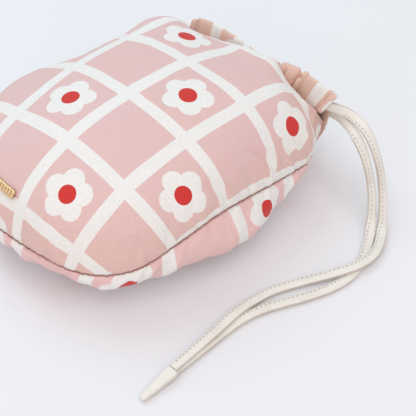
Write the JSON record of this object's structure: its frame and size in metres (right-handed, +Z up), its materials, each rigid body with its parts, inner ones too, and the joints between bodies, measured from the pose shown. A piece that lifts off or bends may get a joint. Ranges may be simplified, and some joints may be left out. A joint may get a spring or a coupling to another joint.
{
  "type": "drawstring pouch",
  "caption": "Soft kinchaku pouch in printed cotton, filled and lying on its back, cinched by a flat leather drawstring that leaves the mouth at one side and ends in a sewn tab.",
  "frame": {"origin": "on the floor, under the middle of the pouch's own bounding box without the drawstring and its tab", "axes": "+Y from the pouch's bottom towards its mouth, +X to the side where the drawstring leaves, +Z up out of the front panel"},
  "size_m": [0.2213, 0.2095, 0.078],
  "materials": {
    "printed_cotton": "matt printed cotton",
    "casing_cotton": "matt printed cotton",
    "gold_metal": "polished",
    "pale_leather": "smooth, stitched along one edge"
  },
  "bodies": {
    "root": {"front_panel": "printed_cotton", "back_panel": "printed_cotton", "gusset": "printed_cotton", "front_casing": "casing_cotton", "back_casing": "casing_cotton", "metal_bar": "gold_metal", "drawstring": "pale_leather", "drawstring_tab": "pale_leather"}
  },
  "joints": []
}
